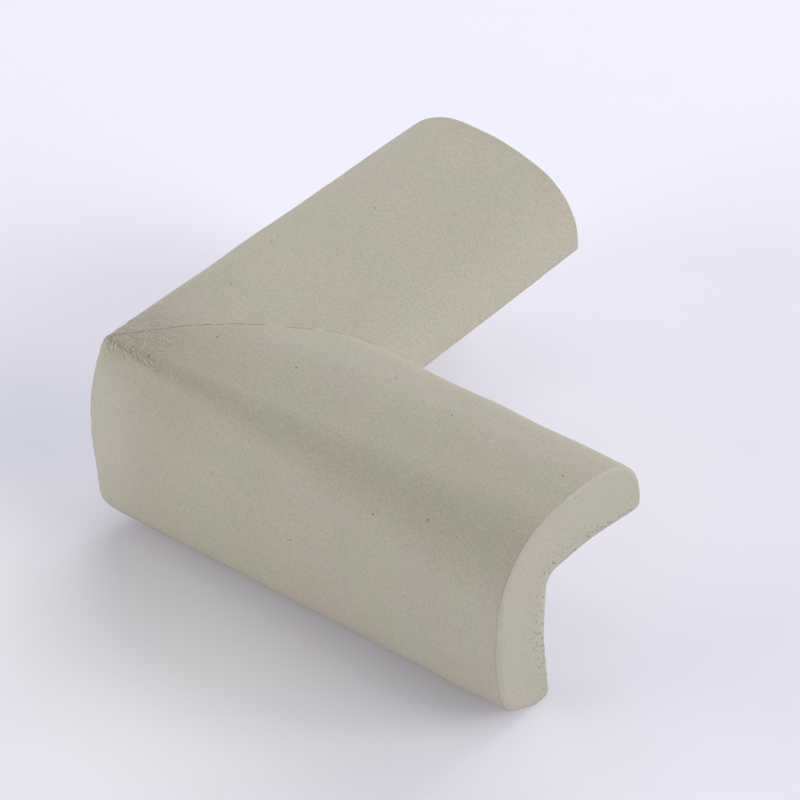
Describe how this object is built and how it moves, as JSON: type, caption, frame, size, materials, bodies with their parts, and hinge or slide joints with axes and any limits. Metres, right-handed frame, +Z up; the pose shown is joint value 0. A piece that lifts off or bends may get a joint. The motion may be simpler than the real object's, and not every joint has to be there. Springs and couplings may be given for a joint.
{
  "type": "edge protector corner piece",
  "caption": "Foam corner guard: rounded L-section edge protector strip, mitred and bonded at a right angle to wrap the corner of a table top.",
  "frame": {"origin": "under the middle of the bounding box, on the floor that the side legs stand on", "axes": "+X along the front arm away from the outer corner, +Y along the back arm away from the outer corner, +Z up"},
  "size_m": [0.08, 0.08, 0.0384],
  "materials": {
    "foam": "matt closed-cell foam with a fine skin, greige"
  },
  "bodies": {
    "root": {"front_arm": "foam", "back_arm": "foam"}
  },
  "joints": []
}
